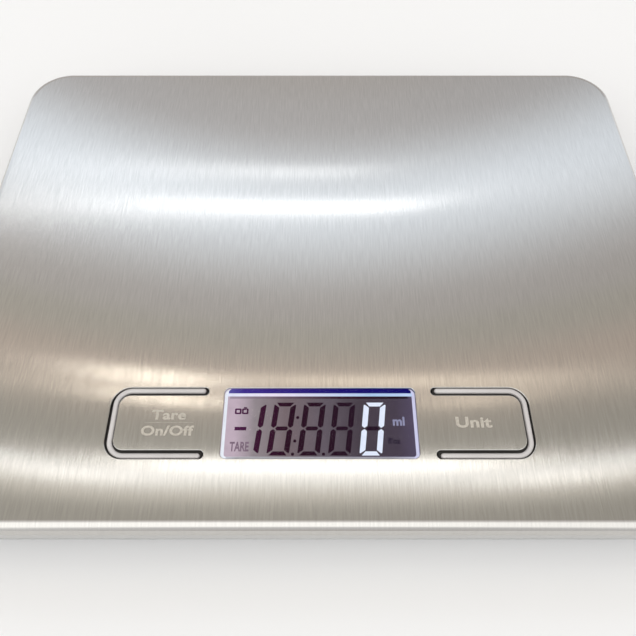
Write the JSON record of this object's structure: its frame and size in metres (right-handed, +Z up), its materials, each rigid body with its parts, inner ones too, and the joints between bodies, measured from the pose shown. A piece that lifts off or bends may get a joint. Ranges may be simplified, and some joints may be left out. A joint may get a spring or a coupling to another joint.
{
  "type": "kitchen scale",
  "caption": "Flat electronic kitchen scale: brushed stainless platform with built-in display window, flexing steel button tongues, plastic base, load-cell feet and battery pocket",
  "frame": {"origin": "on the surface it stands on, under the middle of the platform", "axes": "+X to the right as seen from the front, +Y to the back, +Z up; the display is toward -Y"},
  "size_m": [0.21, 0.162, 0.02],
  "materials": {
    "stainless": "fine straight brushing that runs front to back, satin gloss",
    "slot_rib": "light warm grey, smooth, slight sheen",
    "window": "clear polished acrylic",
    "lcd": "polarised display film, grey-violet, with dark segments",
    "backlight": "milky light guide, lit blue-white",
    "black_plastic": "moulded, fine matte",
    "frame_plastic": "natural moulded plastic",
    "base_plastic": "moulded, fine spark-eroded texture",
    "circuit_board": "green solder mask",
    "plated_steel": "nickel plated, satin",
    "screw": "zinc plated",
    "black_rubber": "matte",
    "adhesive": "soft foam tape",
    "battery_jacket": "printed sleeve, plain, satin",
    "red_wire": "smooth insulation",
    "black_wire": "smooth insulation",
    "white_wire": "smooth insulation"
  },
  "bodies": {
    "housing": {"steel_cover": "stainless", "tare_slot_rib": "slot_rib", "unit_slot_rib": "slot_rib", "display_window": "window", "lcd_glass": "lcd", "lcd_backlight": "backlight", "lcd_bezel": "black_plastic", "zebra_strip": "black_rubber", "main_board": "circuit_board", "controller_chip": "black_plastic", "tare_switch": "black_plastic", "unit_switch": "black_plastic", "adhesive_sheet": "adhesive", "upper_frame": "frame_plastic", "base_shell": "base_plastic", "battery_1": "battery_jacket", "battery_2": "battery_jacket", "battery_bridge_contact": "plated_steel", "battery_negative_contact": "plated_steel", "battery_positive_contact": "plated_steel", "battery_wire_red": "red_wire", "battery_wire_black": "black_wire", "load_cell_front_left": "plated_steel", "strain_gauge_front_left": "adhesive", "foot_cup_front_left": "base_plastic", "foot_pad_front_left": "black_rubber", "cell_lead_front_left": "white_wire", "load_cell_front_right": "plated_steel", "strain_gauge_front_right": "adhesive", "foot_cup_front_right": "base_plastic", "foot_pad_front_right": "black_rubber", "cell_lead_front_right": "white_wire", "load_cell_rear_left": "plated_steel", "strain_gauge_rear_left": "adhesive", "foot_cup_rear_left": "base_plastic", "foot_pad_rear_left": "black_rubber", "cell_lead_rear_left": "white_wire", "load_cell_rear_right": "plated_steel", "strain_gauge_rear_right": "adhesive", "foot_cup_rear_right": "base_plastic", "foot_pad_rear_right": "black_rubber", "cell_lead_rear_right": "white_wire", "case_screw_1": "screw", "case_screw_2": "screw", "case_screw_3": "screw", "case_screw_4": "screw", "case_screw_5": "screw", "case_screw_6": "screw", "board_screw_1": "screw", "board_screw_2": "screw"},
    "tare_button": {"tare_button": "stainless", "tare_button_post": "black_plastic"},
    "unit_button": {"unit_button": "stainless", "unit_button_post": "black_plastic"},
    "tare_plunger": {"tare_switch_plunger": "frame_plastic"},
    "unit_plunger": {"unit_switch_plunger": "frame_plastic"},
    "battery_cover": {"battery_cover": "base_plastic"},
    "battery_latch": {"battery_latch": "base_plastic"}
  },
  "joints": [
    {"name": "tare_button_press", "type": "hinge", "parent": "housing", "child": "tare_button", "pos_m": [-0.0292, -0.054, 0.0197], "axis": [0, -1, 0], "range_deg": [0, 1.2], "stiffness_Nm_per_rad": 1.4},
    {"name": "unit_button_press", "type": "hinge", "parent": "housing", "child": "unit_button", "pos_m": [0.0292, -0.054, 0.0197], "axis": [0, 1, 0], "range_deg": [0, 1.2], "stiffness_Nm_per_rad": 1.4},
    {"name": "tare_plunger_travel", "type": "slide", "parent": "housing", "child": "tare_plunger", "axis": [0, 0, -1], "range_m": [0, 0.0004]},
    {"name": "unit_plunger_travel", "type": "slide", "parent": "housing", "child": "unit_plunger", "axis": [0, 0, -1], "range_m": [0, 0.0004]},
    {"name": "battery_cover_hinge", "type": "hinge", "parent": "housing", "child": "battery_cover", "pos_m": [0, 0.0335, 0.00405], "axis": [1, 0, 0], "range_deg": [0, 75]},
    {"name": "battery_latch_press", "type": "hinge", "parent": "battery_cover", "child": "battery_latch", "pos_m": [0, 0.0008, 0.0074], "axis": [1, 0, 0], "range_deg": [0, 12], "stiffness_Nm_per_rad": 0.08}
  ],
  "couplings": [
    {"joint": "tare_plunger_travel", "follows": "tare_button_press", "m_per_rad": 0.0148},
    {"joint": "unit_plunger_travel", "follows": "unit_button_press", "m_per_rad": 0.0148}
  ]
}
